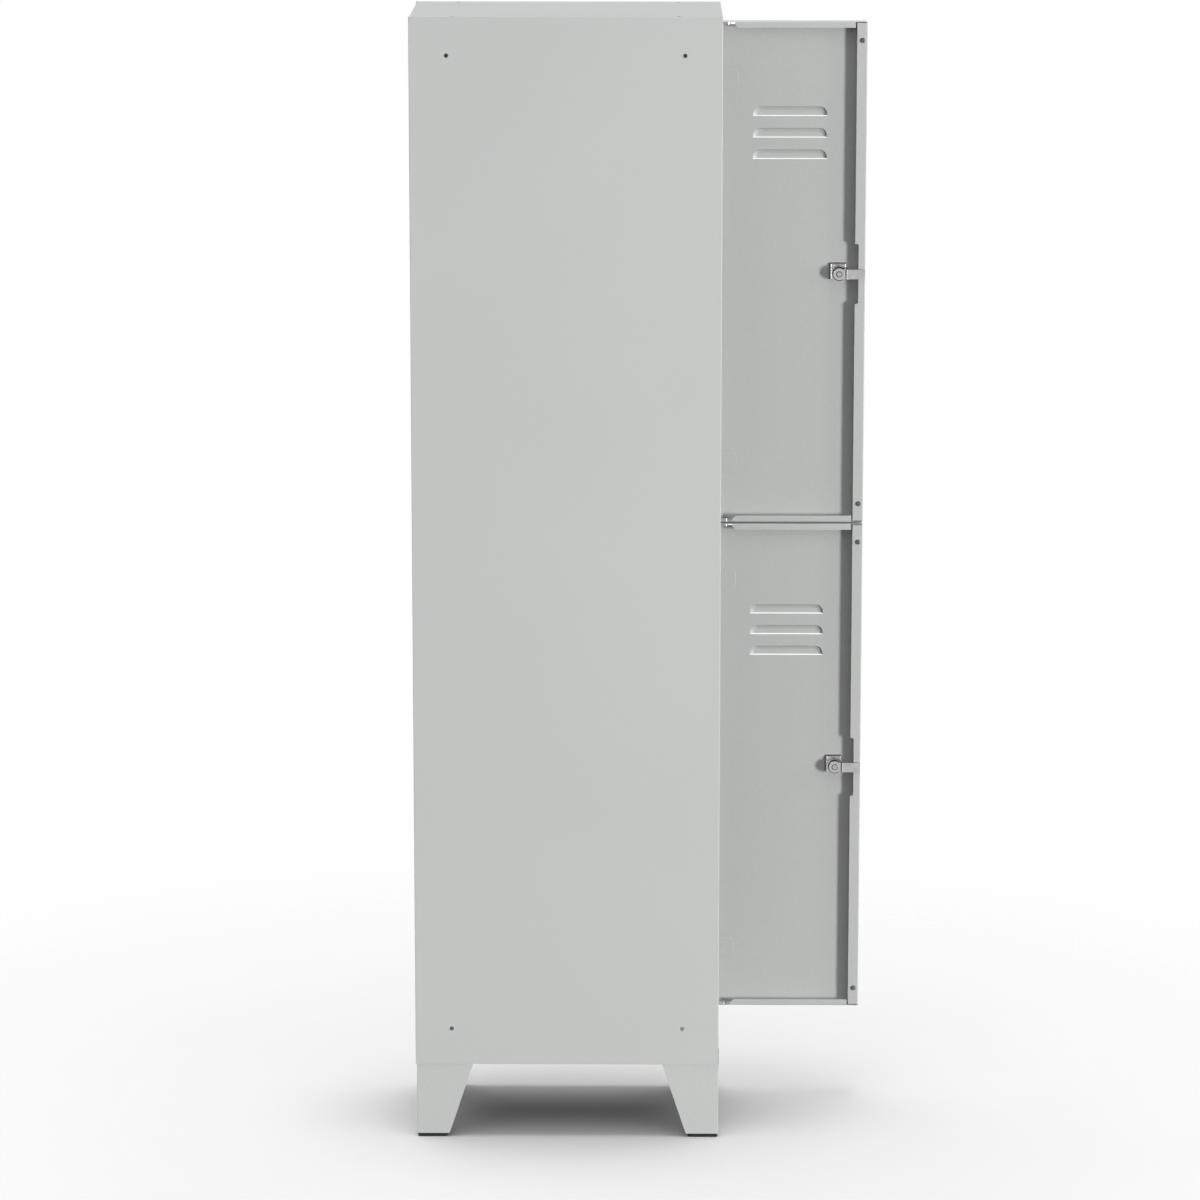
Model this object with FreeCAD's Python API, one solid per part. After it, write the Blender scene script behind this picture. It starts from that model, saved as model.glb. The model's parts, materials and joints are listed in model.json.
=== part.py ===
import FreeCAD, Part
import math
import os

# A two-tier sheet-steel school locker, one column wide, standing on four feet.
# All lengths are in millimetres.
# X runs from the left side to the right, Y from the front to the back, and Z up.
# The origin is on the floor, under the middle of the body.
# Both doors are hinged on the right and stand open at 90 degrees.
# Door parts are built in the closed place and then swung open about the hinge axis.

Vector = FreeCAD.Vector

# Body
body_width = 300.0
body_depth = 500.0
overall_height = 1850.0
leg_height = 125.0
sheet = 1.0
bend_radius = 0.6
half_width = body_width / 2
front = -body_depth / 2
back = body_depth / 2

# Front frame
stile_width = 20.0
top_rail_height = 26.5
base_rail_height = 29.0
base_rail_sheet = 1.2
latch_stop_depth = 22.5
hinge_stop_depth = 25.5
stop_width = 14.0
stop_overlap = 10.0
rear_flange = 15.0
top_flange_drop = 20.0
top_flange_setback = 5.0
shelf_hem = 15.0
shelf_hem_relief = 5.0
shelf_flange_drop = 15.0
shelf_flange_setback = 8.0
floor_flange_rise = 4.0

# Doors
door_gap = 1.5
door_spacing = 3.0
door_depth = 20.0
side_lip = 17.0
hinge_lip = 10.0
end_lip = 10.5
lip_slit = 2.4
lip_end_slit = 1.3
corner_tab_depth = 15.0
corner_radius = 2.5
hinge_inset = 12.0
hinge_depth = 5.0
open_angle = 90.0
hinge_relief_length = 40.0
hinge_relief_height = 26.0
hinge_relief_chamfer = 5.5
relief_slot = (31.5, 9.5, 2.0, 4.3)

# Louvres, pressed outwards and open at the bottom
louvre_count = 3
louvre_length = 124.0
louvre_height = 17.0
louvre_pitch = 35.4
louvre_drop = 157.0
louvre_shift = -3.0
louvre_corner = 13.0
louvre_mouth = 1.2
louvre_sections = ((0.0, 0.0), (3.0, 1.6), (5.0, 6.0))

# Shallow pads pressed into the door beside the hinges
pad_height = 33.0
pad_length = 36.0
pad_drop = 80.0
pad_relief = 0.5
pad_corner = 8.0
pad_from_hinge = 10.0

# Lock
lock_inset = 43.0
lock_notch_height = 100.0
lock_notch_depth = 5.6
gasket_thickness = 1.2
gasket_margin = 1.8
gasket_above = 1.6
housing_to_hinge = 14.6
housing_to_edge = 12.2
housing_above = 15.3
housing_below = 11.0
housing_depth = 5.0
housing_rounding = 2.4
housing_slot = (7.0, 2.0, 12.9)
shoulder_height = 2.5
barrel_radius = 10.1
barrel_height = 15.0
ring_radius = 11.3
ring_height = 5.0
ring_setback = 0.2
neck_radius = 9.4
plug_radius = 6.0
rosette_radius = 14.0
rosette_height = 3.0
keyway = (8.4, 1.8, 9.0)
cam_width = 16.0
cam_end_radius = 9.5
cam_thickness = 2.0
cam_recess = 1.0
cam_recess_radius = 5.2
cam_step = 10.5
cam_tip_gap = 0.9
tang_size = 6.0
cam_screw_radius = 3.9
cam_screw_height = 2.6
running_clearance = 0.05
part_clearance = 0.3

# Hinge pins and plates
pin_radius = 2.5
pin_head_radius = 3.3
pin_head_height = 3.0
pin_reach = 5.0
hinge_plate_length = 30.0
hinge_plate_thickness = 4.0
bracket_thickness = 2.0
bracket_reach = 14.0
bracket_tab_drop = 28.0
pin_chamfer = 0.6

# Door buffers
buffer_inset = 8.0
buffer_drop = 31.0
buffer_radius = 4.2
buffer_height = 2.6
buffer_rounding = 2.4
buffer_stem_radius = 2.4

# Feet and glides
foot_sheet = 1.5
foot_top_width = 93.0
foot_bottom_width = 53.4
foot_overlap = 22.0
glide_size = 48.7
glide_height = 6.0
glide_corner = 4.0
glide_margin = 1.2
peg_radius = 4.0
peg_height = 7.0
foot_bolt_radius = 3.0
foot_bolt_head = 10.0
foot_bolt_head_height = 4.0
foot_bolt_insets = (30.0, 70.0)

# Coat rails and hooks
rail_radius = 8.0
rail_wall = 1.2
rail_drop = 75.0
socket_flange_radius = 15.0
socket_length = 9.0
socket_sheet = 2.0
hook_count = 3
hook_spacing = 80.0
hook_width = 10.0
hook_wire_radius = 2.0
hook_bend_radius = 9.0
hook_stem = 14.0
hook_ring_wall = 2.2
hook_sweep = 200.0
hook_knob_radius = 3.0

# Holes for bolting lockers side by side, and in the top
joining_hole_radius = 3.5
side_hole_inset = 60.0
side_hole_drop = 61.0
top_hole_inset = 70.0
top_hole_side_inset = 14.0

# Places worked out from the sizes above
body_bottom = leg_height
body_top = overall_height
base_top = body_bottom + base_rail_height
door_low = base_top + door_gap
door_high = body_top - top_rail_height - door_gap
door_height = (door_high - door_low - door_spacing) / 2
door_width = body_width - 2 * (stile_width + door_gap)
door_half = door_width / 2
door_bottoms = {"upper": door_high - door_height, "lower": door_low}
middle_height = door_low + door_height + door_spacing / 2
shelf_top = door_bottoms["upper"] + stop_overlap
pivot_x = door_half - hinge_inset
pivot_y = front + hinge_depth
lip_face = front + door_depth
latch_stop = front + latch_stop_depth
hinge_stop = front + hinge_stop_depth
stop_left = -half_width + stile_width + stop_width
stop_right = pivot_x - hinge_stop_depth + door_depth / 2
inner_side = half_width - sheet


def box(x0, x1, y0, y1, z0, z1):
    return Part.makeBox(x1 - x0, y1 - y0, z1 - z0, Vector(x0, y0, z0))


def cylinder(radius, start, end):
    axis = Vector(*end) - Vector(*start)
    return Part.makeCylinder(radius, axis.Length, Vector(*start), axis)


def mirrored(shape):
    return shape.mirror(Vector(0, 0, 0), Vector(1, 0, 0))


def rounded_line(points, radii):
    """Edges along a line of points, with an arc of the given radius at each inner point."""
    edges = []
    start = points[0]
    for before, corner, after, radius in zip(points, points[1:], points[2:], radii):
        inward = (before - corner).normalize()
        outward = (after - corner).normalize()
        half = inward.getAngle(outward) / 2
        first = corner + inward * (radius / math.tan(half))
        last = corner + outward * (radius / math.tan(half))
        towards_centre = (inward + outward).normalize()
        middle = corner + towards_centre * (radius / math.sin(half) - radius)
        edges.append(Part.LineSegment(start, first).toShape())
        edges.append(Part.Arc(first, middle, last).toShape())
        start = last
    edges.append(Part.LineSegment(start, points[-1]).toShape())
    return edges


def folded_sheet(path, thickness, low, high, plane="XY"):
    """A folded sheet whose face follows the path, with its thickness to the path's left."""
    points = [Vector(u, v, 0) for u, v in path]
    normals = []
    for a, b in zip(points, points[1:]):
        along = (b - a).normalize()
        normals.append(Vector(-along.y, along.x, 0))
    offset = [points[0] + normals[0] * thickness]
    path_radii = []
    offset_radii = []
    for corner, n1, n2 in zip(points[1:], normals, normals[1:]):
        offset.append(corner + (n1 + n2) * (thickness / (1 + n1.dot(n2))))
        turns_left = n1.cross(n2).z > 0
        path_radii.append(bend_radius + (thickness if turns_left else 0))
        offset_radii.append(bend_radius + (0 if turns_left else thickness))
    offset.append(points[-1] + normals[-1] * thickness)
    edges = rounded_line(points, path_radii)
    edges.append(Part.LineSegment(points[-1], offset[-1]).toShape())
    edges += rounded_line(offset[::-1], offset_radii[::-1])
    edges.append(Part.LineSegment(offset[0], points[0]).toShape())
    prism = Part.Face(Part.Wire(edges)).extrude(Vector(0, 0, high - low))
    if plane == "XY":
        prism.translate(Vector(0, 0, low))
    if plane == "YZ":
        turn = FreeCAD.Rotation(Vector(0, 1, 0), Vector(0, 0, 1), Vector(1, 0, 0))
        prism.Placement = FreeCAD.Placement(Vector(low, 0, 0), turn)
    if plane == "XZ":
        turn = FreeCAD.Rotation(Vector(1, 0, 0), Vector(0, 0, 1), Vector(0, -1, 0))
        prism.Placement = FreeCAD.Placement(Vector(0, high, 0), turn)
    return prism


def rim_edges(shape, axis, value):
    """The edges that lie in the plane where the given coordinate has the given value."""
    found = []
    for edge in shape.Edges:
        bounds = edge.BoundBox
        lowest = getattr(bounds, axis + "Min")
        highest = getattr(bounds, axis + "Max")
        if abs(lowest - value) < 1e-4 and abs(highest - value) < 1e-4:
            found.append(edge)
    return found


def edges_along(shape, axis, length):
    """The straight edges that run along an axis for the given length."""
    found = []
    for edge in shape.Edges:
        if abs(getattr(edge.BoundBox, axis + "Length") - length) < 1e-4 and abs(edge.Length - length) < 1e-4:
            found.append(edge)
    return found


def pillow(x0, x1, y0, y1, z0, z1, corner, rim):
    """A block whose edges along Y have one radius, and whose front and back rims have another."""
    shape = box(x0, x1, y0, y1, z0, z1)
    shape = shape.makeFillet(corner, edges_along(shape, "Y", y1 - y0))
    shape = shape.makeFillet(rim, rim_edges(shape, "Y", y0))
    return shape.makeFillet(rim, rim_edges(shape, "Y", y1))


def prism_y(points, y0, y1, radii=None):
    """A straight block along Y over a closed outline of (x, z) points, rounded at its inner points."""
    corners = [Vector(x, y0, z) for x, z in points]
    if radii:
        edges = rounded_line(corners, radii)
        edges.append(Part.LineSegment(corners[-1], corners[0]).toShape())
        wire = Part.Wire(edges)
    else:
        wire = Part.makePolygon(corners + [corners[0]])
    return Part.Face(wire).extrude(Vector(0, y1 - y0, 0))


def save(name, shape):
    shape.exportStep(os.path.join("parts", name + ".step"))


# Cabinet


def side_panel(stop_face):
    """The left side: a wall whose front edge folds into the stile and the door stop."""
    stile_edge = -half_width + stile_width
    panel = folded_sheet(
        [
            (-half_width + rear_flange, back),
            (-half_width, back),
            (-half_width, front),
            (stile_edge, front),
            (stile_edge, stop_face),
            (stile_edge + stop_width, stop_face),
        ],
        sheet,
        body_bottom,
        body_top,
    )
    inside = -inner_side
    panel = panel.cut(box(inside, stop_left + 1, front - 1, hinge_stop + 2, body_bottom - 1, base_top))
    for y in (front + side_hole_inset, back - side_hole_inset):
        for z in (body_bottom + side_hole_drop, body_top - side_hole_drop):
            hole = cylinder(joining_hole_radius, (-half_width - 1, y, z), (inside + 1, y, z))
            panel = panel.cut(hole)
    return panel


def back_panel():
    edge = inner_side - bend_radius
    return box(-edge, edge, back - 2 * sheet, back - sheet, body_bottom, body_top - sheet)


def top_panel():
    """The top: its front edge folds down into the top rail, back, and down again as a door stop."""
    rail_bottom = body_top - top_rail_height
    stop_bottom = rail_bottom - door_gap - stop_overlap
    panel = folded_sheet(
        [
            (back - 2 * sheet, body_top),
            (front, body_top),
            (front, rail_bottom),
            (latch_stop, rail_bottom),
            (latch_stop, stop_bottom),
        ],
        sheet,
        -inner_side,
        inner_side,
        "YZ",
    )
    stile_edge = half_width - stile_width
    behind_stops = hinge_stop + sheet
    for side in (-1, 1):
        x0, x1 = sorted((side * stile_edge, side * half_width))
        panel = panel.cut(box(x0, x1, front - 1, front + sheet, stop_bottom - 1, body_top + 1))
        panel = panel.cut(box(x0, x1, front - 1, behind_stops, stop_bottom - 1, body_top - sheet))
    lip_bottom = rail_bottom + sheet + bend_radius
    panel = panel.cut(box(-half_width, stop_left, latch_stop, behind_stops, stop_bottom - 1, lip_bottom + 1))
    panel = panel.cut(box(stop_right, half_width, latch_stop - 1, behind_stops, stop_bottom - 1, rail_bottom))
    flange_front = behind_stops + top_flange_setback
    for side in (-1, 1):
        x0, x1 = sorted((side * inner_side, side * (inner_side - sheet)))
        flange = box(x0, x1, flange_front, back - 2 * sheet, body_top - top_flange_drop, body_top - sheet)
        panel = panel.fuse(flange)
    under_rail = (pivot_x, pivot_y, rail_bottom - 1)
    over_rail = (pivot_x, pivot_y, rail_bottom + 2)
    panel = panel.cut(cylinder(pin_radius, under_rail, over_rail))
    for side in (-1, 1):
        for y in (front + top_hole_inset, back - top_hole_inset):
            x = side * (half_width - top_hole_side_inset)
            hole = cylinder(joining_hole_radius, (x, y, body_top - 5), (x, y, body_top + 1))
            panel = panel.cut(hole)
    return panel.removeSplitter().cut([side_panel(latch_stop), mirrored(side_panel(hinge_stop))])


def bottom_panel():
    """The floor of the lower compartment, with a flange down each side that the feet bolt to."""
    edge = inner_side - foot_sheet
    return folded_sheet(
        [
            (edge, body_bottom + floor_flange_rise),
            (edge, base_top),
            (-edge, base_top),
            (-edge, body_bottom + floor_flange_rise),
        ],
        sheet,
        latch_stop + base_rail_sheet,
        back - 2 * sheet - foot_sheet,
        "XZ",
    ).cut(foot_bolts())


def base_rail():
    """The front rail over the feet, folded back under the door and up again as a door stop."""
    rail_front = front - base_rail_sheet
    rail = folded_sheet(
        [
            (latch_stop, door_low + stop_overlap),
            (latch_stop, base_top),
            (rail_front, base_top),
            (rail_front, body_bottom),
        ],
        base_rail_sheet,
        -half_width,
        half_width,
        "YZ",
    )
    high = door_low + stop_overlap + 1
    for side in (-1, 1):
        x0, x1 = sorted((side * inner_side, side * (half_width + 1)))
        rail = rail.cut(box(x0, x1, front, hinge_stop, body_bottom - 1, high))
    behind = front + sheet
    rail = rail.cut(box(-half_width, stop_left, behind, hinge_stop, base_top, high))
    rail = rail.cut(box(stop_right, half_width, behind, hinge_stop, base_top, high))
    hole = cylinder(pin_radius, (pivot_x, pivot_y, base_top - 2), (pivot_x, pivot_y, base_top + 1))
    return rail.cut(hole)


def middle_shelf():
    """The shelf between the compartments: its front edge is the stop of both doors."""
    stop_bottom = door_bottoms["lower"] + door_height - stop_overlap
    shelf = folded_sheet(
        [
            (back - 2 * sheet, shelf_top),
            (latch_stop, shelf_top),
            (latch_stop, stop_bottom),
            (latch_stop + shelf_hem, stop_bottom),
        ],
        sheet,
        -inner_side,
        inner_side,
        "YZ",
    )
    behind_stops = hinge_stop + sheet + part_clearance
    low = stop_bottom - 1
    hem_end = latch_stop + shelf_hem + 1
    hem_top = shelf_top - shelf_hem_relief
    flange_front = behind_stops + shelf_flange_setback
    shelf = shelf.cut(box(-half_width, stop_left, latch_stop - 1, behind_stops, low, shelf_top + 1))
    shelf = shelf.cut(box(stop_right, half_width, latch_stop - 1, behind_stops, low, shelf_top + 1))
    shelf = shelf.cut(box(stop_right, half_width, behind_stops, hem_end, low, hem_top))
    shelf = shelf.cut(box(-half_width, stop_left, behind_stops, hem_end, low, hem_top))
    for side in (-1, 1):
        x0, x1 = sorted((side * inner_side, side * (inner_side - sheet)))
        flange = box(x0, x1, flange_front, back - 2 * sheet, shelf_top - shelf_flange_drop, shelf_top)
        shelf = shelf.fuse(flange)
    return shelf.removeSplitter()


def middle_hinge_bracket():
    """A plate in the gap between the doors, with a tab down behind the hinge-side stop."""
    low = middle_height - bracket_thickness / 2
    high = middle_height + bracket_thickness / 2
    stop_end = half_width - stile_width - stop_width
    stile_edge = half_width - stile_width
    tab_front = hinge_stop + sheet
    tab_back = tab_front + bracket_thickness
    plate_left = pivot_x - bracket_reach
    plate = box(plate_left, stile_edge, front + sheet, hinge_stop, low, high)
    neck = box(plate_left, stop_end, hinge_stop, tab_back, low, high)
    tab = box(plate_left, stile_edge, tab_front, tab_back, low - bracket_tab_drop, high)
    bracket = plate.fuse([neck, tab]).removeSplitter()
    hole = cylinder(pin_radius, (pivot_x, pivot_y, low - 1), (pivot_x, pivot_y, high + 1))
    return bracket.cut([hole, mirrored(side_panel(hinge_stop))])


def headed_pin(head_at, direction, length):
    """A hinge pin that stands on its head plane and points up (1) or down (-1)."""
    tip = head_at + direction * length
    head_end = head_at - direction * pin_head_height
    head = cylinder(pin_head_radius, (pivot_x, pivot_y, head_at), (pivot_x, pivot_y, head_end))
    shank = cylinder(pin_radius, (pivot_x, pivot_y, head_at), (pivot_x, pivot_y, tip))
    pin = head.fuse(shank)
    return pin.makeChamfer(pin_chamfer, rim_edges(pin, "Z", tip))


def middle_pin():
    length = door_spacing / 2 + sheet + hinge_plate_thickness + pin_reach
    low = middle_height - length
    high = middle_height + length
    pin = cylinder(pin_radius, (pivot_x, pivot_y, low), (pivot_x, pivot_y, high))
    return pin.makeChamfer(pin_chamfer, rim_edges(pin, "Z", low) + rim_edges(pin, "Z", high))


def corner_leg(length_bottom, length_top, thickness):
    """One leg of a foot, from its outer corner along +X, with a slanted inner edge."""
    low = glide_height
    return prism_y(
        [
            (0, low),
            (length_bottom, low),
            (length_top, body_bottom),
            (length_top, body_bottom + foot_overlap),
            (0, body_bottom + foot_overlap),
        ],
        0,
        thickness,
    )


def foot(is_right, is_rear):
    """An angle-section foot with a slanted inner edge on both legs and a plate underneath."""
    front_leg = corner_leg(foot_bottom_width, foot_top_width, foot_sheet)
    side_leg = corner_leg(foot_bottom_width, foot_top_width, foot_sheet)
    side_leg.rotate(Vector(0, 0, 0), Vector(0, 0, 1), 90)
    side_leg.translate(Vector(foot_sheet, 0, 0))
    size = foot_bottom_width - 1
    plate = box(0, size, 0, size, glide_height, glide_height + foot_sheet)
    shape = front_leg.fuse([side_leg, plate]).removeSplitter()
    outer = edges_along(shape, "Z", body_bottom + foot_overlap - glide_height)
    outer = [edge for edge in outer if edge.BoundBox.XMax < 0.1 and edge.BoundBox.YMax < 0.1]
    shape = shape.makeFillet(foot_sheet - 0.3, outer)
    centre = glide_size / 2 + glide_margin
    shape = shape.cut(cylinder(peg_radius, (centre, centre, 0), (centre, centre, 20)))
    if is_rear:
        shape = shape.mirror(Vector(0, 0, 0), Vector(0, 1, 0))
    shape.translate(Vector(-inner_side, back - 2 * sheet if is_rear else front, 0))
    if is_right:
        shape = mirrored(shape)
    return shape.cut(foot_bolts())


def glide(is_right, is_rear):
    """A black plastic pad with a peg that snaps into the foot's plate."""
    size = glide_size
    pad = box(glide_margin, size + glide_margin, glide_margin, size + glide_margin, 0, glide_height)
    pad = pad.makeFillet(glide_corner, edges_along(pad, "Z", glide_height))
    pad = pad.makeChamfer(0.8, rim_edges(pad, "Z", 0))
    centre = size / 2 + glide_margin
    peg = cylinder(peg_radius, (centre, centre, glide_height), (centre, centre, glide_height + peg_height))
    shape = pad.fuse(peg)
    if is_rear:
        shape = shape.mirror(Vector(0, 0, 0), Vector(0, 1, 0))
    shape.translate(Vector(-inner_side, back - 2 * sheet if is_rear else front, 0))
    return mirrored(shape) if is_right else shape


def foot_bolts():
    """Two hexagon bolts through the floor's flange into each foot."""
    bolts = []
    flange_face = inner_side - foot_sheet - sheet
    z = body_bottom + foot_overlap / 2 + 2
    for y in [front + inset for inset in foot_bolt_insets] + [back - inset for inset in foot_bolt_insets]:
        corners = []
        for i in range(7):
            angle = math.radians(60 * i)
            reach = foot_bolt_head / math.sqrt(3)
            across = y + reach * math.cos(angle)
            up = z + reach * math.sin(angle)
            corners.append(Vector(flange_face - foot_bolt_head_height, across, up))
        head = Part.Face(Part.makePolygon(corners)).extrude(Vector(foot_bolt_head_height, 0, 0))
        shank = cylinder(foot_bolt_radius, (flange_face, y, z), (inner_side, y, z))
        bolt = head.fuse(shank)
        bolts += [bolt, mirrored(bolt)]
    return Part.makeCompound(bolts)


def compartment_top(tier):
    return body_top - sheet if tier == "upper" else shelf_top - sheet


def rail_height(tier):
    return compartment_top(tier) - rail_drop


def coat_rail(tier):
    z = rail_height(tier)
    end = inner_side - socket_sheet
    outside = cylinder(rail_radius, (-end, 0, z), (end, 0, z))
    inside = cylinder(rail_radius - rail_wall, (-end - 1, 0, z), (end + 1, 0, z))
    return outside.cut(inside)


def coat_rail_sockets(tier):
    """The two flanged cups that hold the ends of a coat rail on the side walls."""
    z = rail_height(tier)
    socket_face = -inner_side + socket_sheet
    flange = cylinder(socket_flange_radius, (-inner_side, 0, z), (socket_face, 0, z))
    collar = cylinder(rail_radius + 2, (socket_face, 0, z), (-inner_side + socket_length, 0, z))
    hollow = cylinder(rail_radius, (socket_face, 0, z), (-inner_side + socket_length + 1, 0, z))
    socket = flange.fuse(collar).cut(hollow)
    socket = socket.makeChamfer(0.8, rim_edges(socket, "X", socket_face)[:1])
    return Part.makeCompound([socket, mirrored(socket)])


def coat_hook(tier, x):
    """A ring that slides on the coat rail, with a wire hook under it."""
    z = rail_height(tier)
    inner = rail_radius + part_clearance
    outer = inner + hook_ring_wall
    ring = cylinder(outer, (x - hook_width / 2, 0, z), (x + hook_width / 2, 0, z))
    ring = ring.cut(cylinder(inner, (x - hook_width, 0, z), (x + hook_width, 0, z)))
    top = Vector(x, 0, z - outer + 1)
    bottom = Vector(x, 0, z - outer - hook_stem)
    bend_centre = bottom + Vector(0, -hook_bend_radius, 0)
    low = bend_centre + Vector(0, 0, -hook_bend_radius)
    end_angle = math.radians(hook_sweep)
    tip = bend_centre + Vector(0, math.cos(end_angle), -math.sin(end_angle)) * hook_bend_radius
    stem = Part.LineSegment(top, bottom).toShape()
    bend = Part.Arc(bottom, low, tip).toShape()
    start = Part.Wire(Part.Circle(top, Vector(0, 0, 1), hook_wire_radius).toShape())
    wire = Part.Wire([stem, bend]).makePipeShell([start], True, False)
    knob = Part.makeSphere(hook_knob_radius, tip)
    return ring.fuse([wire, knob])


# Doors


def door_panel(low):
    """The door: a folded pan with lips, louvres, pads, a lock hole and a relief at each hinge."""
    high = low + door_height
    pan = pillow(-door_half, door_half, front, lip_face, low, high, corner_radius, bend_radius + sheet)
    hollow = pillow(
        -door_half + sheet,
        door_half - sheet,
        front + sheet,
        lip_face - sheet,
        low + sheet,
        high - sheet,
        corner_radius - sheet,
        bend_radius,
    )
    pan = pan.cut(hollow)
    pan = pan.cut(lip_window(low, high)).fuse(corner_tabs(low, high))
    pan = pan.cut(Part.makeCompound(hinge_end_cuts(low, high)))
    lock_z = (low + high) / 2
    lock_x = -door_half + lock_inset
    pan = pan.cut(cylinder(neck_radius, (lock_x, front - 1, lock_z), (lock_x, front + 2, lock_z)))
    for z in (low + buffer_drop, high - buffer_drop):
        x = -door_half + buffer_inset
        pan = pan.cut(cylinder(buffer_stem_radius, (x, lip_face - 2, z), (x, lip_face + 1, z)))
    for i in range(louvre_count):
        hood, opening = louvre(high - louvre_drop - i * louvre_pitch)
        pan = pan.cut(opening).fuse(hood)
    return with_pads(pan, low, high)


def lip_window(low, high):
    """What is cut from the back of the pan so that lips are left along its edges."""
    y0 = lip_face - sheet - 0.5
    y1 = lip_face + 1
    left = -door_half + side_lip
    right = door_half - hinge_lip
    window = box(left, right, y0, y1, low + end_lip, high - end_lip)
    middle = (low + high) / 2
    half = lock_notch_height / 2
    notch = prism_y(
        [
            (left + 1, middle - half),
            (left - lock_notch_depth, middle - half),
            (left - lock_notch_depth, middle + half),
            (left + 1, middle + half),
        ],
        y0,
        y1,
        (3.0, 3.0),
    )
    relief_x = door_half - hinge_relief_length
    chamfer_x = relief_x - hinge_relief_chamfer
    cuts = [notch]
    for end, inward in ((low, 1), (high, -1)):
        slit_end, slit_side = sorted((end + inward * sheet, end + inward * (end_lip + 1)))
        cuts.append(box(left, left + lip_slit, y0, y1, slit_end, slit_side))
        slit_low, slit_high = sorted((end + inward * sheet, end + inward * (sheet + lip_end_slit)))
        cuts.append(box(-door_half - 1, left + lip_slit, y0, y1, slit_low, slit_high))
        cuts.append(
            prism_y(
                [
                    (relief_x, end + inward * sheet),
                    (relief_x, end + inward * (end_lip - hinge_relief_chamfer)),
                    (chamfer_x, end + inward * end_lip),
                    (chamfer_x, end + inward * (end_lip + 1)),
                    (right - 1, end + inward * hinge_relief_height),
                    (door_half - sheet, end + inward * hinge_relief_height),
                    (door_half - sheet, end + inward * sheet),
                ],
                y0,
                y1,
            )
        )
    return window.fuse(cuts)


def corner_tabs(low, high):
    """Narrow tabs folded inwards on both sides of each slit at the door's free corners."""
    left = -door_half + side_lip
    y0 = lip_face - sheet - corner_tab_depth
    y1 = lip_face - sheet / 2
    tabs = []
    for end, inward in ((low, 1), (high, -1)):
        slit_end = end + inward * (sheet + lip_end_slit)
        for x0, start in ((left - sheet, slit_end), (left + lip_slit, end + inward * sheet / 2)):
            z0, z1 = sorted((start, end + inward * end_lip))
            tabs.append(box(x0, x0 + sheet, y0, y1, z0, z1))
    return tabs


def hinge_end_cuts(low, high):
    """Pin holes through both end flanges, and a relief slot in the face beside the top hinge."""
    hole = pin_radius + running_clearance
    cuts = [
        cylinder(hole, (pivot_x, pivot_y, low - 1), (pivot_x, pivot_y, low + 2)),
        cylinder(hole, (pivot_x, pivot_y, high - 2), (pivot_x, pivot_y, high + 1)),
    ]
    from_edge, length, drop, height = relief_slot
    x1 = door_half - from_edge
    cuts.append(box(x1 - length, x1, front - 1, front + sheet + 0.1, high - drop - height, high - drop))
    return cuts


def louvre_outline(y, inset, bottom, z):
    """A closed outline with a straight bottom edge and rounded upper corners."""
    half = louvre_length / 2 - inset
    top = z + louvre_height - inset
    corner = louvre_corner - inset / 2
    points = [
        (louvre_shift - half, bottom),
        (louvre_shift - half, top),
        (louvre_shift + half, top),
        (louvre_shift + half, bottom),
    ]
    corners = [Vector(x, y, height) for x, height in points]
    edges = rounded_line(corners, (corner, corner))
    edges.append(Part.LineSegment(corners[-1], corners[0]).toShape())
    return Part.Wire(edges)


def louvre(z):
    """The hood of a louvre over its slot, and the slot to cut from the door's face."""
    outer = []
    inner = []
    for depth, inset in louvre_sections:
        outer.append(louvre_outline(front + sheet / 2 - depth, inset, z + louvre_mouth, z))
        inner.append(louvre_outline(front + sheet - depth, inset + sheet, z, z))
    hollow = Part.makeLoft(inner, True, True)
    hood = Part.makeLoft(outer, True, True).cut(hollow)
    opening = Part.Face(louvre_outline(front - 1, sheet, z, z)).extrude(Vector(0, sheet + 2, 0))
    return hood, opening


def with_pads(pan, low, high):
    """Adds the shallow pads beside the hinges: raised inside and sunk outside."""
    right = door_half - pad_from_hinge
    for z in (low + pad_drop + pad_height / 2, high - pad_drop - pad_height / 2):
        size = (right - pad_length, right, z - pad_height / 2, z + pad_height / 2)
        x0, x1, z0, z1 = size
        raised = pillow(x0, x1, front + sheet - 0.6, front + sheet + pad_relief, z0, z1, pad_corner, 0.4)
        sunk = pillow(x0 + 1, x1 - 1, front - 0.8, front + pad_relief, z0 + 1, z1 - 1, pad_corner - 1, 0.4)
        pan = pan.fuse(raised).cut(sunk)
    return pan


def door_hinge_plates(low):
    """The thick plates inside both ends of a door that turn on the hinge pins."""
    high = low + door_height
    plates = []
    x1 = door_half - corner_radius
    for z0 in (low + sheet, high - sheet - hinge_plate_thickness):
        z1 = z0 + hinge_plate_thickness
        plate = box(x1 - hinge_plate_length, x1, front + sheet, lip_face - 2 * sheet, z0, z1)
        plate = plate.makeFillet(4.0, [plate_corner(plate, x1 - hinge_plate_length, lip_face - 2 * sheet)])
        rounded = edges_along(plate, "X", hinge_plate_length)
        rounded = [edge for edge in rounded if edge.BoundBox.YMax < front + sheet + 0.1]
        near_end = z0 if z0 < low + 10 else z1
        rounded = [edge for edge in rounded if abs(edge.BoundBox.ZMin - near_end) < 0.1]
        plate = plate.makeChamfer(bend_radius, rounded)
        below = (pivot_x, pivot_y, z0 - 1)
        above = (pivot_x, pivot_y, z1 + 1)
        hole = cylinder(pin_radius + running_clearance, below, above)
        plates.append(plate.cut(hole))
    return Part.makeCompound(plates)


def plate_corner(shape, x, y):
    """The upright edge of a shape at the given place."""
    for edge in shape.Edges:
        bounds = edge.BoundBox
        if abs(bounds.XMin - x) + abs(bounds.XMax - x) + abs(bounds.YMin - y) + abs(bounds.YMax - y) < 1e-3:
            return edge
    raise ValueError("no upright edge there")


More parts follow.
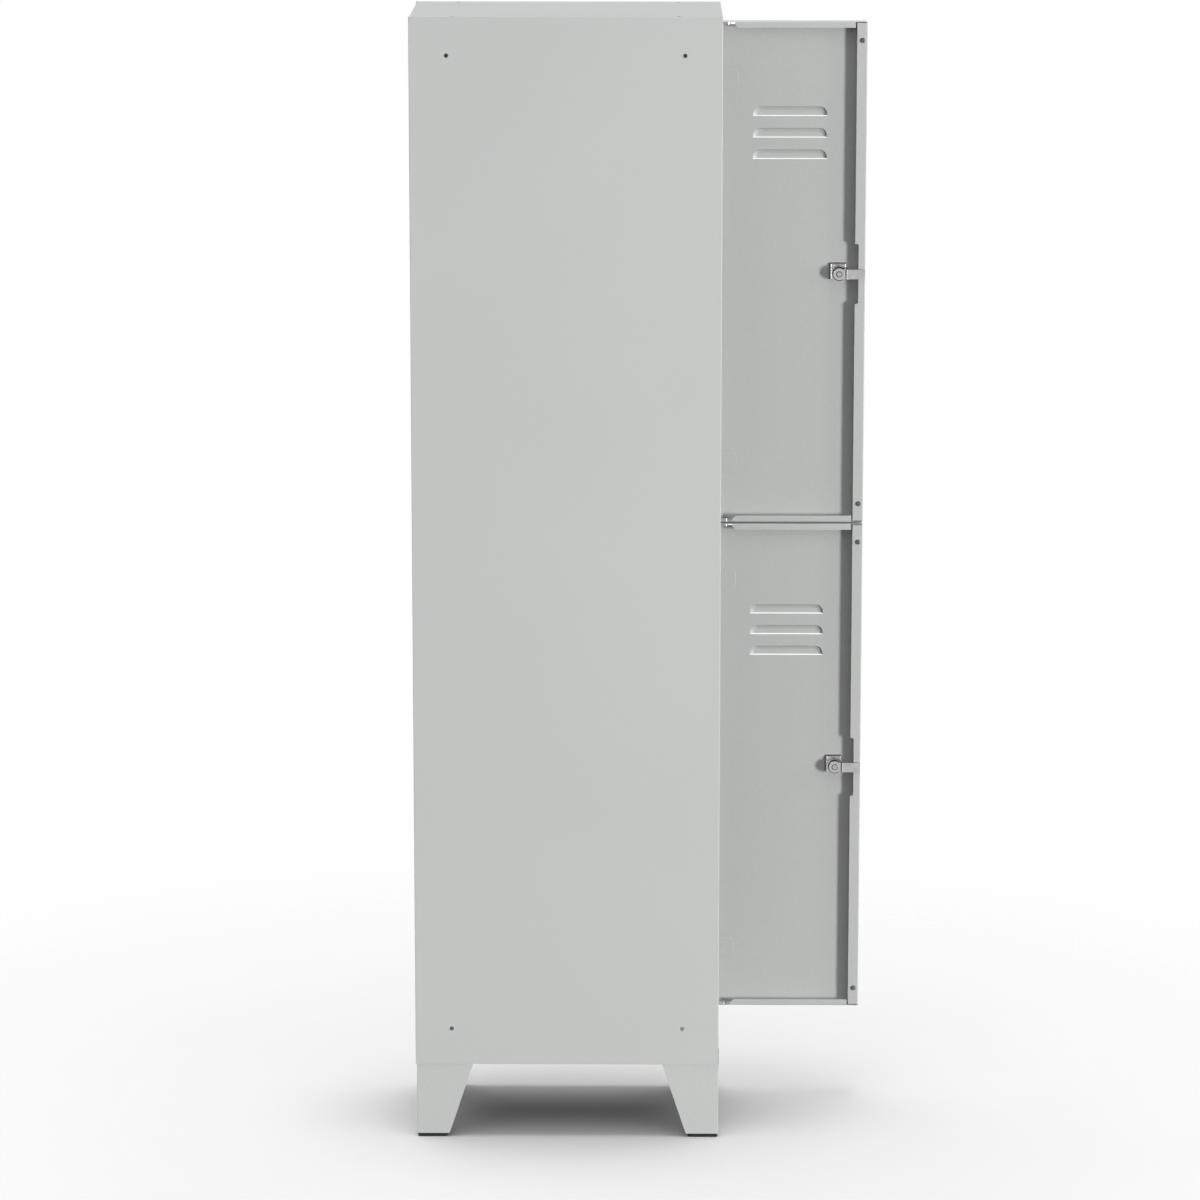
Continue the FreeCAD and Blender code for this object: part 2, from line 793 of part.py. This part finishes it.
def door_buffers(low):
    """Two rubber buffers in the lip at the door's free edge."""
    buffers = []
    x = -door_half + buffer_inset
    for z in (low + buffer_drop, low + door_height - buffer_drop):
        dome = cylinder(buffer_radius, (x, lip_face, z), (x, lip_face + buffer_height, z))
        dome = dome.makeFillet(buffer_rounding, rim_edges(dome, "Y", lip_face + buffer_height))
        stem = cylinder(buffer_stem_radius, (x, lip_face - sheet, z), (x, lip_face, z))
        barb = cylinder(buffer_stem_radius + 0.7, (x, lip_face - sheet - 1.5, z), (x, lip_face - sheet, z))
        buffers.append(dome.fuse([stem, barb]))
    return Part.makeCompound(buffers)


# Lock


def lock_place(low):
    return -door_half + lock_inset, low + door_height / 2


def lock_gasket(low):
    """The thin black gasket between the door's sheet and the lock's case."""
    x, z = lock_place(low)
    y0 = front + sheet
    gasket = box(
        x - housing_to_edge,
        x + housing_to_hinge + gasket_margin,
        y0,
        y0 + gasket_thickness,
        z - housing_below,
        z + housing_above + gasket_above,
    )
    gasket = gasket.makeFillet(1.0, edges_along(gasket, "Y", gasket_thickness))
    gasket = gasket.makeChamfer(0.3, rim_edges(gasket, "Y", y0 + gasket_thickness))
    return gasket.cut(cylinder(neck_radius + part_clearance, (x, y0 - 1, z), (x, y0 + 3, z)))


def lock_case(x, z, y0, y1):
    """The block of the lock's case, with its two upright edges well rounded."""
    z0 = z - housing_below
    z1 = z + housing_above
    case = box(x - housing_to_edge, x + housing_to_hinge, y0, y1, z0, z1)
    upright = edges_along(case, "Z", z1 - z0)
    upright = [edge for edge in upright if edge.BoundBox.YMin > y1 - 0.1]
    case = case.makeFillet(housing_rounding, upright)
    return case.makeFillet(0.6, rim_edges(case, "Z", z0) + rim_edges(case, "Z", z1))


def lock_housing(low):
    """The die-cast case behind the door: a low plate with a slot, and a barrel round the plug."""
    x, z = lock_place(low)
    y0 = front + sheet + gasket_thickness
    y1 = front + sheet + housing_depth
    top = y1 + barrel_height
    case = lock_case(x, z, y0, y1)
    barrel = cylinder(barrel_radius, (x, y1 - 1, z), (x, top, z))
    barrel = barrel.makeFillet(0.5, rim_edges(barrel, "Y", top))
    shoulder = pillow(
        x - housing_to_edge + 1.5,
        x + housing_to_hinge - 2.5,
        y1 - 2,
        y1 + shoulder_height,
        z + 8,
        z + housing_above - 0.8,
        1.5,
        0.7,
    )
    neck = cylinder(neck_radius, (x, front, z), (x, y0 + 1, z))
    shape = case.fuse([barrel, shoulder, neck])
    slot_length, slot_height, slot_rise = housing_slot
    slot_x = x + 1.4
    slot_z = z + slot_rise
    slot = box(
        slot_x - slot_length / 2,
        slot_x + slot_length / 2,
        y0 + 0.5,
        y1 + shoulder_height + 1,
        slot_z - slot_height / 2,
        slot_z + slot_height / 2,
    )
    bore = cylinder(plug_radius + running_clearance, (x, front - 1, z), (x, top + 1, z))
    return shape.cut([slot, bore])


def lock_ring(low):
    """The black ring that is pressed over the end of the barrel."""
    x, z = lock_place(low)
    y1 = front + sheet + housing_depth + barrel_height - ring_setback - 0.5
    y0 = y1 - ring_height
    ring = cylinder(ring_radius, (x, y0, z), (x, y1, z))
    ring = ring.makeFillet(0.4, rim_edges(ring, "Y", y1))
    return ring.cut(cylinder(barrel_radius, (x, y0 - 1, z), (x, y1 + 1, z)))


def lock_rosette(low):
    """The round plate on the door's face round the lock plug."""
    x, z = lock_place(low)
    disc = cylinder(rosette_radius, (x, front - rosette_height, z), (x, front, z))
    disc = disc.makeFillet(1.6, rim_edges(disc, "Y", front - rosette_height))
    return disc.cut(cylinder(plug_radius + part_clearance, (x, front - 5, z), (x, front + 1, z)))


def cam_base(low):
    return front + sheet + housing_depth + barrel_height + part_clearance


def lock_plug(low):
    """The plug that the key turns, with a square tang for the cam."""
    x, z = lock_place(low)
    y0 = front - rosette_height - 0.5
    y1 = cam_base(low)
    plug = cylinder(plug_radius, (x, y0, z), (x, y1, z))
    plug = plug.makeChamfer(0.5, rim_edges(plug, "Y", y0))
    half = tang_size / 2
    tang = box(x - half, x + half, y1 - 0.5, y1 + cam_thickness - cam_recess, z - half, z + half)
    key_length, key_width, key_depth = keyway
    slot = box(
        x - key_length / 2,
        x + key_length / 2,
        y0 - 1,
        y0 + key_depth,
        z - key_width / 2,
        z + key_width / 2,
    )
    thread = cylinder(cam_screw_radius / 2, (x, y1 - 8, z), (x, y1 + 5, z))
    return plug.fuse(tang).cut([slot, thread])


def lock_cam(low):
    """The cam: a round end on the plug, a slanted step up, and a straight tongue to the free edge."""
    x, z = lock_place(low)
    y0 = cam_base(low)
    y1 = y0 + cam_thickness
    step = latch_stop + sheet + part_clearance - y0
    tip = -door_half + cam_tip_gap
    outline = folded_sheet(
        [
            (x + cam_end_radius, -y0),
            (x - cam_step, -y0),
            (x - cam_step - step, -y0 - step),
            (tip, -y0 - step),
        ],
        cam_thickness,
        z - cam_end_radius,
        z + cam_end_radius,
    )
    outline = outline.mirror(Vector(0, 0, 0), Vector(0, 1, 0))
    half = cam_width / 2
    high = y1 + step + 1
    round_end = cylinder(cam_end_radius, (x, y0 - 1, z), (x, high, z))
    keep = round_end.fuse(box(tip - 1, x, y0 - 1, high, z - half, z + half))
    half_tang = tang_size / 2
    tang = box(x - half_tang, x + half_tang, y0 - 1, y1 + 1, z - half_tang, z + half_tang)
    recess = cylinder(cam_recess_radius, (x, y1 - cam_recess, z), (x, y1 + 1, z))
    return outline.common(keep).cut([tang, recess])


def lock_cam_screw(low):
    """The slotted screw that holds the cam, with its head sunk in the cam's recess."""
    x, z = lock_place(low)
    y0 = cam_base(low) + cam_thickness - cam_recess
    y1 = y0 + cam_screw_height
    head = cylinder(cam_screw_radius, (x, y0, z), (x, y1, z))
    head = head.makeFillet(0.6, rim_edges(head, "Y", y1))
    slot = box(x - 5, x + 5, y1 - 1.2, y1 + 1, z - 0.5, z + 0.5)
    shank = cylinder(cam_screw_radius / 2, (x, cam_base(low) - 6, z), (x, y0, z))
    return head.cut(slot).fuse(shank)


def opened(shape):
    shape.rotate(Vector(pivot_x, pivot_y, 0), Vector(0, 0, 1), open_angle)
    return shape


os.makedirs("parts", exist_ok=True)
rail_bottom = body_top - top_rail_height
end_pin_length = 2 * sheet + door_gap + hinge_plate_thickness + pin_reach

save("side_panel_left", side_panel(latch_stop))
save("side_panel_right", mirrored(side_panel(hinge_stop)))
save("back_panel", back_panel())
save("top_panel", top_panel())
save("bottom_panel", bottom_panel())
save("base_rail", base_rail())
save("middle_shelf", middle_shelf())
save("middle_hinge_bracket", middle_hinge_bracket())
save("top_hinge_pin", headed_pin(rail_bottom + sheet, -1, end_pin_length))
save("middle_hinge_pin", middle_pin())
save("bottom_hinge_pin", headed_pin(base_top - base_rail_sheet, 1, end_pin_length))
save("foot_bolts", foot_bolts())
for depth_name, is_rear in (("front", False), ("rear", True)):
    for side_name, is_right in (("left", False), ("right", True)):
        save(f"foot_{depth_name}_{side_name}", foot(is_right, is_rear))
        save(f"glide_{depth_name}_{side_name}", glide(is_right, is_rear))
for tier, low in door_bottoms.items():
    save(f"{tier}_coat_rail", coat_rail(tier))
    save(f"{tier}_rail_sockets", coat_rail_sockets(tier))
    for i in range(hook_count):
        x = (i - (hook_count - 1) / 2) * hook_spacing
        save(f"{tier}_coat_hook_{i + 1}", coat_hook(tier, x))
    save(f"{tier}_door_panel", opened(door_panel(low)))
    save(f"{tier}_door_hinge_plates", opened(door_hinge_plates(low)))
    save(f"{tier}_door_buffers", opened(door_buffers(low)))
    save(f"{tier}_lock_gasket", opened(lock_gasket(low)))
    save(f"{tier}_lock_housing", opened(lock_housing(low)))
    save(f"{tier}_lock_ring", opened(lock_ring(low)))
    save(f"{tier}_lock_rosette", opened(lock_rosette(low)))
    save(f"{tier}_lock_plug", opened(lock_plug(low)))
    save(f"{tier}_lock_cam", opened(lock_cam(low)))
    save(f"{tier}_lock_cam_screw", opened(lock_cam_screw(low)))
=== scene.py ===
import json
import math

import bmesh
import bpy
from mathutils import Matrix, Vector


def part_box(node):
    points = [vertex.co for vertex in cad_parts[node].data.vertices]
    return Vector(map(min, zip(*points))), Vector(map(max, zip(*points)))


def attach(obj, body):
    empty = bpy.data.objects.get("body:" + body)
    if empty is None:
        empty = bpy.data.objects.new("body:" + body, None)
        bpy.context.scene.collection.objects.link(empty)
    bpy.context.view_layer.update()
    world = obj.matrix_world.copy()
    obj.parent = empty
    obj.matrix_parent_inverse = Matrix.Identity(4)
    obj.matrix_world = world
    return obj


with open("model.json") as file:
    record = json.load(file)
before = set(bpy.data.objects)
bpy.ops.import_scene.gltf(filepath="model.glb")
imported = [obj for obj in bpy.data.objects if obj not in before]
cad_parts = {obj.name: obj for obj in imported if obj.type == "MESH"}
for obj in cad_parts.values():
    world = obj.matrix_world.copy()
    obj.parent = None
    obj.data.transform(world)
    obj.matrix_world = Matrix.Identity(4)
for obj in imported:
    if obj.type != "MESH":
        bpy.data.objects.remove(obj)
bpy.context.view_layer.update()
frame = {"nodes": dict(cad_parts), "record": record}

# Camera: to the cabinet's left, above its top, looking a little down. Metres, then millimetres.
CAMERA_PLACE = Vector((-8.3, -0.13, 2.549))
CAMERA_AIM = Vector((0.0, -0.0532, 0.8773))
CAMERA_LENS = 153.8
CAMERA_SENSOR = 36.0

# Paint: a light grey powder coat, as linear colour.
PAINT = (0.555, 0.567, 0.557)

# Nearly all of a noise's values lie between these.
NOISE_LOW = 0.3
NOISE_HIGH = 0.7


# ---------------------------------------------------------------- node helpers
class Nodes:
    """Builds one node tree in short lines."""

    def __init__(self, tree):
        self.tree = tree
        tree.nodes.clear()

    def add(self, kind, **values):
        node = self.tree.nodes.new(kind)
        for key, value in values.items():
            setattr(node, key, value)
        return node

    def link(self, a, b):
        self.tree.links.new(a, b)

    def noise(self, where, scale, detail=2.0, roughness=0.5, distortion=0.0):
        node = self.add("ShaderNodeTexNoise")
        node.inputs["Scale"].default_value = scale
        node.inputs["Detail"].default_value = detail
        node.inputs["Roughness"].default_value = roughness
        node.inputs["Distortion"].default_value = distortion
        self.link(where, node.inputs["Vector"])
        return node.outputs["Fac"]

    def remap(self, value, low, high, to_low, to_high):
        """Takes low to high onto to_low to to_high, and stops at both ends."""
        node = self.add("ShaderNodeMapRange")
        node.clamp = True
        for name, number in zip(
            ("From Min", "From Max", "To Min", "To Max"), (low, high, to_low, to_high)
        ):
            node.inputs[name].default_value = number
        self.link(value, node.inputs["Value"])
        return node.outputs["Result"]

    def spread(self, noise, to_low, to_high):
        return self.remap(noise, NOISE_LOW, NOISE_HIGH, to_low, to_high)

    def math(self, kind, a, b):
        node = self.add("ShaderNodeMath", operation=kind)
        for socket, value in zip(node.inputs, (a, b)):
            if isinstance(value, (int, float)):
                socket.default_value = value
            else:
                self.link(value, socket)
        return node.outputs["Value"]

    def mix(self, factor, a, b, kind="MIX"):
        """Mixes two colours, each a tuple or a socket."""
        node = self.add("ShaderNodeMixRGB", blend_type=kind)
        for socket, value in zip(node.inputs, (factor, a, b)):
            if isinstance(value, (int, float)):
                socket.default_value = value
            elif isinstance(value, tuple):
                socket.default_value = (*value, 1.0)
            else:
                self.link(value, socket)
        return node.outputs["Color"]

    def cloudy(self, noise, dark, light):
        """A colour that wanders between two with a noise."""
        return self.mix(self.spread(noise, 0.0, 1.0), dark, light)


def start_material(name):
    """A new material, its nodes, its shader and the coordinates that its noises use."""
    material = bpy.data.materials.new(name)
    material.use_nodes = True
    nodes = Nodes(material.node_tree)
    output = nodes.add("ShaderNodeOutputMaterial")
    shader = nodes.add("ShaderNodeBsdfPrincipled")
    nodes.link(shader.outputs["BSDF"], output.inputs["Surface"])
    where = nodes.add("ShaderNodeTexCoord").outputs["Object"]
    return material, nodes, shader, where


def bump(nodes, shader, layers):
    """layers: (height, strength, distance in metres), each on top of the one before."""
    normal = None
    for height, strength, distance in layers:
        node = nodes.add("ShaderNodeBump")
        node.inputs["Strength"].default_value = strength
        node.inputs["Distance"].default_value = distance
        nodes.link(height, node.inputs["Height"])
        if normal is not None:
            nodes.link(normal, node.inputs["Normal"])
        normal = node.outputs["Normal"]
    nodes.link(normal, shader.inputs["Normal"])


def grey(level):
    return (level, level, level)


def tint(colour, share):
    return tuple(c * share for c in colour)


# ---------------------------------------------------------------- materials
def paint_material():
    """Satin powder coat: orange peel, a fine grain, slow changes of tone and gloss."""
    material, nodes, shader, where = start_material("powder_coat_grey")
    tone = nodes.noise(where, scale=2.3, detail=2.0)
    colour = nodes.cloudy(tone, tint(PAINT, 0.985), tint(PAINT, 1.012))
    grain = nodes.noise(where, scale=520.0, detail=3.0, roughness=0.65)
    speckle = nodes.mix(nodes.remap(grain, 0.25, 0.75, 0.0, 1.0), grey(0.94), grey(1.06))
    colour = nodes.mix(1.0, colour, speckle, "MULTIPLY")
    nodes.link(colour, shader.inputs["Base Color"])
    gloss = nodes.noise(where, scale=14.0, detail=3.0)
    nodes.link(nodes.spread(gloss, 0.425, 0.475), shader.inputs["Roughness"])
    shader.inputs["Specular IOR Level"].default_value = 0.45
    peel = nodes.noise(where, scale=260.0, detail=1.5)
    fine = nodes.noise(where, scale=1100.0, detail=3.0, roughness=0.6)
    bump(nodes, shader, [(peel, 0.5, 0.00006), (fine, 0.7, 0.000012)])
    return material


def zinc_material():
    """Zinc-plated steel: cloudy bright patches and a fine grain."""
    material, nodes, shader, where = start_material("zinc_plate")
    cloud = nodes.noise(where, scale=90.0, detail=4.0, roughness=0.6, distortion=0.4)
    colour = nodes.cloudy(cloud, (0.50, 0.50, 0.505), (0.62, 0.62, 0.615))
    nodes.link(colour, shader.inputs["Base Color"])
    shader.inputs["Metallic"].default_value = 1.0
    patch = nodes.noise(where, scale=240.0, detail=3.0, roughness=0.6)
    nodes.link(nodes.spread(patch, 0.28, 0.38), shader.inputs["Roughness"])
    grain = nodes.noise(where, scale=1400.0, detail=3.0, roughness=0.7)
    bump(nodes, shader, [(grain, 0.5, 0.000008)])
    return material


def lock_material():
    """Nickel-plated die casting: smooth, with a trace of casting texture."""
    material, nodes, shader, where = start_material("nickel_plate")
    cloud = nodes.noise(where, scale=160.0, detail=3.0)
    colour = nodes.cloudy(cloud, (0.58, 0.577, 0.573), (0.70, 0.697, 0.693))
    nodes.link(colour, shader.inputs["Base Color"])
    shader.inputs["Metallic"].default_value = 1.0
    patch = nodes.noise(where, scale=420.0, detail=3.0)
    nodes.link(nodes.spread(patch, 0.26, 0.36), shader.inputs["Roughness"])
    grain = nodes.noise(where, scale=900.0, detail=2.0, roughness=0.6)
    bump(nodes, shader, [(grain, 0.4, 0.000006)])
    return material


def rubber_material():
    """Dark grey rubber, rather shiny. It also colours the dark rings round the cams' screws, which
    are painted shade.
    """
    material, nodes, shader, where = start_material("buffer_rubber")
    cloud = nodes.noise(where, scale=300.0, detail=3.0)
    colour = nodes.cloudy(cloud, (0.060, 0.061, 0.063), (0.085, 0.086, 0.088))
    nodes.link(colour, shader.inputs["Base Color"])
    nodes.link(nodes.spread(cloud, 0.27, 0.35), shader.inputs["Roughness"])
    shader.inputs["Specular IOR Level"].default_value = 1.0
    grain = nodes.noise(where, scale=1500.0, detail=2.0)
    bump(nodes, shader, [(grain, 0.4, 0.00001)])
    return material


DUST_HEIGHT = 0.006


def plastic_material():
    """Black moulded plastic: a fine spark-eroded grain, and floor dust on the lowest few mm."""
    material, nodes, shader, where = start_material("black_plastic")
    height = nodes.add("ShaderNodeSeparateXYZ")
    nodes.link(where, height.inputs["Vector"])
    low_down = nodes.remap(height.outputs["Z"], 0.0, DUST_HEIGHT, 1.0, 0.0)
    cloud = nodes.noise(where, scale=180.0, detail=4.0, roughness=0.7)
    dust = nodes.math("MULTIPLY", low_down, nodes.remap(cloud, 0.4, 0.7, 0.0, 0.5))
    colour = nodes.mix(dust, (0.012, 0.012, 0.013), (0.075, 0.073, 0.070))
    nodes.link(colour, shader.inputs["Base Color"])
    nodes.link(nodes.spread(cloud, 0.42, 0.58), shader.inputs["Roughness"])
    shader.inputs["Specular IOR Level"].default_value = 0.25
    grain = nodes.noise(where, scale=1600.0, detail=3.0, roughness=0.6)
    bump(nodes, shader, [(grain, 0.6, 0.00005)])
    return material


SLOT_MATERIALS = {
    "body_paint": paint_material(),
    "zinc_steel": zinc_material(),
    "lock_metal": lock_material(),
    "buffer_rubber": rubber_material(),
    "black_plastic": plastic_material(),
}

slot_of = {part["node"]: part["material_slot"] for part in frame["record"]["subparts"]}
for name, node in frame["nodes"].items():
    material = SLOT_MATERIALS[slot_of[name]]
    for place in node.material_slots:
        place.material = material


# ---------------------------------------------------------------- dark rings round the cams' screws: painted shade of the gap under each screw head
# Metres. The parting line stands out by its share of the section's half width.
RING_RADIUS = 0.00455
RING_WIDTH = 0.00105
RING_HEIGHT = 0.0008
RING_BELOW_HEAD = 0.0022
PARTING_LINE = 1.12
RING_TURNS = 64
RING_SIDES = 12


def oval_ring(name, centre):
    """A dark ring about an axis along X, painted shade of the gap round a screw head: an oval
    section with a slight parting line.
    """
    mesh = bmesh.new()
    loops = []
    for i in range(RING_TURNS):
        around = math.tau * i / RING_TURNS
        loop = []
        for j in range(RING_SIDES):
            over = math.tau * j / RING_SIDES
            swell = PARTING_LINE if j == 0 else 1.0
            reach = RING_RADIUS + RING_WIDTH / 2 * math.cos(over) * swell
            x = centre.x + RING_HEIGHT / 2 * math.sin(over)
            y = centre.y + reach * math.cos(around)
            z = centre.z + reach * math.sin(around)
            loop.append(mesh.verts.new((x, y, z)))
        loops.append(loop)
    for loop, following in zip(loops, loops[1:] + loops[:1]):
        for j in range(RING_SIDES):
            k = (j + 1) % RING_SIDES
            mesh.faces.new((loop[j], loop[k], following[k], following[j])).smooth = True
    bmesh.ops.recalc_face_normals(mesh, faces=mesh.faces)
    data = bpy.data.meshes.new(name)
    mesh.to_mesh(data)
    mesh.free()
    # The dark rubber colour paints the shade round the screw head.
    data.materials.append(SLOT_MATERIALS["buffer_rubber"])
    ring = bpy.data.objects.new(name, data)
    bpy.context.scene.collection.objects.link(ring)
    return ring


# One dark ring of painted shade round each cam's screw, just under its head.
for tier in ("upper", "lower"):
    screw_low, screw_high = (Vector(corner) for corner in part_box(tier + "_lock_cam_screw"))
    centre = (screw_low + screw_high) / 2
    centre.x = screw_low.x + RING_BELOW_HEAD
    ring = oval_ring(tier + "_lock_screw_shade_ring", centre)
    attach(ring, tier + "_lock")


# ---------------------------------------------------------------- stage
# Metres. The floor is whole up to the first distance of FLOOR_FADE and gone at the second.
FLOOR_RADIUS = 3.2
FLOOR_FADE = (0.75, 1.9)
FLOOR_SIDES = 96


def make_floor():
    """A round pale floor that fades out into the white background."""
    bpy.ops.mesh.primitive_circle_add(vertices=FLOOR_SIDES, radius=FLOOR_RADIUS, fill_type="NGON")
    floor = bpy.context.object
    floor.name = "floor"
    material, nodes, shader, where = start_material("floor_pale")
    shader.inputs["Roughness"].default_value = 0.7
    shader.inputs["Specular IOR Level"].default_value = 0.2
    cloud = nodes.noise(where, scale=3.0, detail=2.0)
    colour = nodes.mix(cloud, grey(0.435), grey(0.445))
    nodes.link(colour, shader.inputs["Base Color"])
    far = nodes.add("ShaderNodeVectorMath", operation="LENGTH")
    nodes.link(where, far.inputs["Vector"])
    fade = nodes.remap(far.outputs["Value"], *FLOOR_FADE, 0.0, 1.0)
    clear = nodes.add("ShaderNodeBsdfTransparent")
    blend = nodes.add("ShaderNodeMixShader")
    nodes.link(fade, blend.inputs["Fac"])
    nodes.link(shader.outputs["BSDF"], blend.inputs[1])
    nodes.link(clear.outputs["BSDF"], blend.inputs[2])
    output = next(n for n in nodes.tree.nodes if n.type == "OUTPUT_MATERIAL")
    nodes.link(blend.outputs["Shader"], output.inputs["Surface"])
    floor.data.materials.append(material)
    floor.visible_diffuse = False
    return floor


def make_world(seen, below, above, mirrored_dark, mirrored_bright):
    """White where the camera looks (seen). Its light rises from the horizon to the zenith.

    Reflections see a darker room with bright walls towards -X and +X, so that metal edges read.
    """
    rise_power = 0.5
    wall_start = 0.45
    world = bpy.data.worlds.new("studio")
    bpy.context.scene.world = world
    world.use_nodes = True
    nodes = Nodes(world.node_tree)
    output = nodes.add("ShaderNodeOutputWorld")
    backdrop = nodes.add("ShaderNodeBackground")
    backdrop.inputs["Color"].default_value = (1.0, 1.0, 1.0, 1.0)
    towards = nodes.add("ShaderNodeSeparateXYZ")
    nodes.link(nodes.add("ShaderNodeTexCoord").outputs["Generated"], towards.inputs["Vector"])
    up = nodes.remap(towards.outputs["Z"], 0.0, 1.0, 0.0, 1.0)
    rise = nodes.math("POWER", up, rise_power)
    strength = nodes.remap(rise, 0.0, 1.0, below, above)
    aside = nodes.math("ABSOLUTE", towards.outputs["X"], 0.0)
    wall = nodes.remap(aside, wall_start, 1.0, mirrored_dark, mirrored_bright)
    rays = nodes.add("ShaderNodeLightPath")
    for kind, level in (("Is Glossy Ray", wall), ("Is Camera Ray", seen)):
        pick = nodes.add("ShaderNodeMix")
        nodes.link(rays.outputs[kind], pick.inputs["Factor"])
        nodes.link(strength, pick.inputs["A"])
        if isinstance(level, float):
            pick.inputs["B"].default_value = level
        else:
            nodes.link(level, pick.inputs["B"])
        strength = pick.outputs["Result"]
    nodes.link(strength, backdrop.inputs["Strength"])
    nodes.link(backdrop.outputs["Background"], output.inputs["Surface"])


def aimed(obj, place, aim):
    """Puts a light or the camera at place, looking at aim."""
    obj.location = place
    obj.rotation_euler = (Vector(aim) - Vector(place)).to_track_quat("-Z", "Y").to_euler()
    bpy.context.scene.collection.objects.link(obj)
    return obj


def softbox(name, place, aim, width, height, power):
    """A rectangular light. Metres and watts."""
    light = bpy.data.lights.new(name, "AREA")
    light.shape = "RECTANGLE"
    light.size, light.size_y = width, height
    light.energy = power
    box = aimed(bpy.data.objects.new(name, light), place, aim)
    box.visible_camera = False
    return box


def overhead(name, height, strength, degrees):
    """A sun straight above. Its width in degrees softens the shadows."""
    light = bpy.data.lights.new(name, "SUN")
    light.energy = strength
    light.angle = math.radians(degrees)
    return aimed(bpy.data.objects.new(name, light), (0, 0, height), (0, 0, 0))


def keep_to(light, obj):
    """Lets the light fall on obj only."""
    only = bpy.data.collections.new(light.name + "_lights")
    only.objects.link(obj)
    light.light_linking.receiver_collection = only


def keep_off(light, obj):
    """Keeps the light from falling on obj."""
    unlit = bpy.data.collections.new(light.name + "_not_on")
    unlit.objects.link(obj)
    light.light_linking.receiver_collection = unlit
    unlit.collection_objects[0].light_linking.link_state = "EXCLUDE"


floor = make_floor()
make_world(seen=1.0, below=0.06, above=0.82, mirrored_dark=0.14, mirrored_bright=0.70)

# From above: one light for the cabinet, two for the floor.
top_light = overhead("top_light", height=3.0, strength=1.38, degrees=16)
top_light.visible_glossy = False
floor_sun = overhead("floor_sun", height=3.1, strength=1.12, degrees=16)
floor_sky = softbox(
    "floor_sky", place=(0.0, 0.0, 5.0), aim=(0.0, 0.0, 0.0), width=11.0, height=11.0, power=508
)
for light in (floor_sun, floor_sky):
    keep_to(light, floor)
    light.visible_glossy = False

# A far strip that only reflections see: it draws the bright lines on rounded edges.
edge_light = softbox(
    "edge_light", place=(-8.3, 3.9, 1.3), aim=(0.0, -0.3, 1.0), width=0.8, height=2.4, power=170
)
edge_light.visible_diffuse = False

# Fills that aren't mirrored, then the key, which is.
FILLS = (
    ("graze_right", (-0.65, -3.2, 1.9), (0.1, -0.4, 1.3), 1.1, 1.5, 24),
    ("fill_left", (-4.2, 9.1, 1.2), (0.0, 0.0, 0.95), 3.0, 3.0, 375),
    ("fill_rear", (6.7, 7.4, 1.6), (0.0, 0.0, 0.95), 3.0, 3.0, 430),
    ("fill_right", (9.1, -4.2, 1.2), (0.0, 0.0, 0.95), 3.0, 3.0, 280),
)
fills = [softbox(*settings) for settings in FILLS]
for light in fills:
    light.visible_glossy = False
key = softbox(
    "key", place=(-6.7, -7.4, 1.05), aim=(0.0, -0.1, 1.0), width=1.4, height=2.0, power=712
)
for light in [key, edge_light] + fills:
    keep_off(light, floor)

camera_data = bpy.data.cameras.new("camera")
camera_data.lens = CAMERA_LENS
camera_data.sensor_width = CAMERA_SENSOR
camera = aimed(bpy.data.objects.new("camera", camera_data), CAMERA_PLACE, CAMERA_AIM)
bpy.context.scene.camera = camera
bpy.context.scene.view_settings.view_transform = "Standard"
